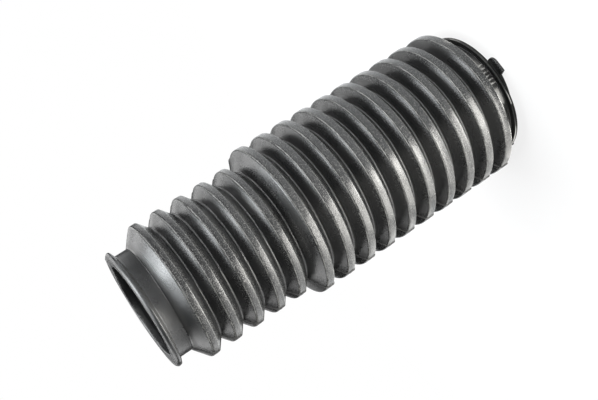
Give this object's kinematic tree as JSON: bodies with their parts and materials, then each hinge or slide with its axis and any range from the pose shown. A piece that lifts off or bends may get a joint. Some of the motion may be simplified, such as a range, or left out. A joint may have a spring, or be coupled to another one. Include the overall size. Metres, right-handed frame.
{
  "type": "bellows boot",
  "caption": "Stepped rubber bellows boot with a wide and a narrow run of convolutions, a clamp seat at each end and a small tab on the wide end's flange.",
  "frame": {"origin": "centre of the wide end's flat end face, on the boot's axis", "axes": "+Z along the boot's axis from the wide end to the narrow end; the mould's parting plane is XZ; the flange tab points to about -Y"},
  "size_m": [0.0728, 0.072, 0.1812],
  "materials": {
    "rubber": "satin moulded black rubber with a fine grain"
  },
  "bodies": {
    "root": {"bellows_boot": "rubber"}
  },
  "joints": []
}
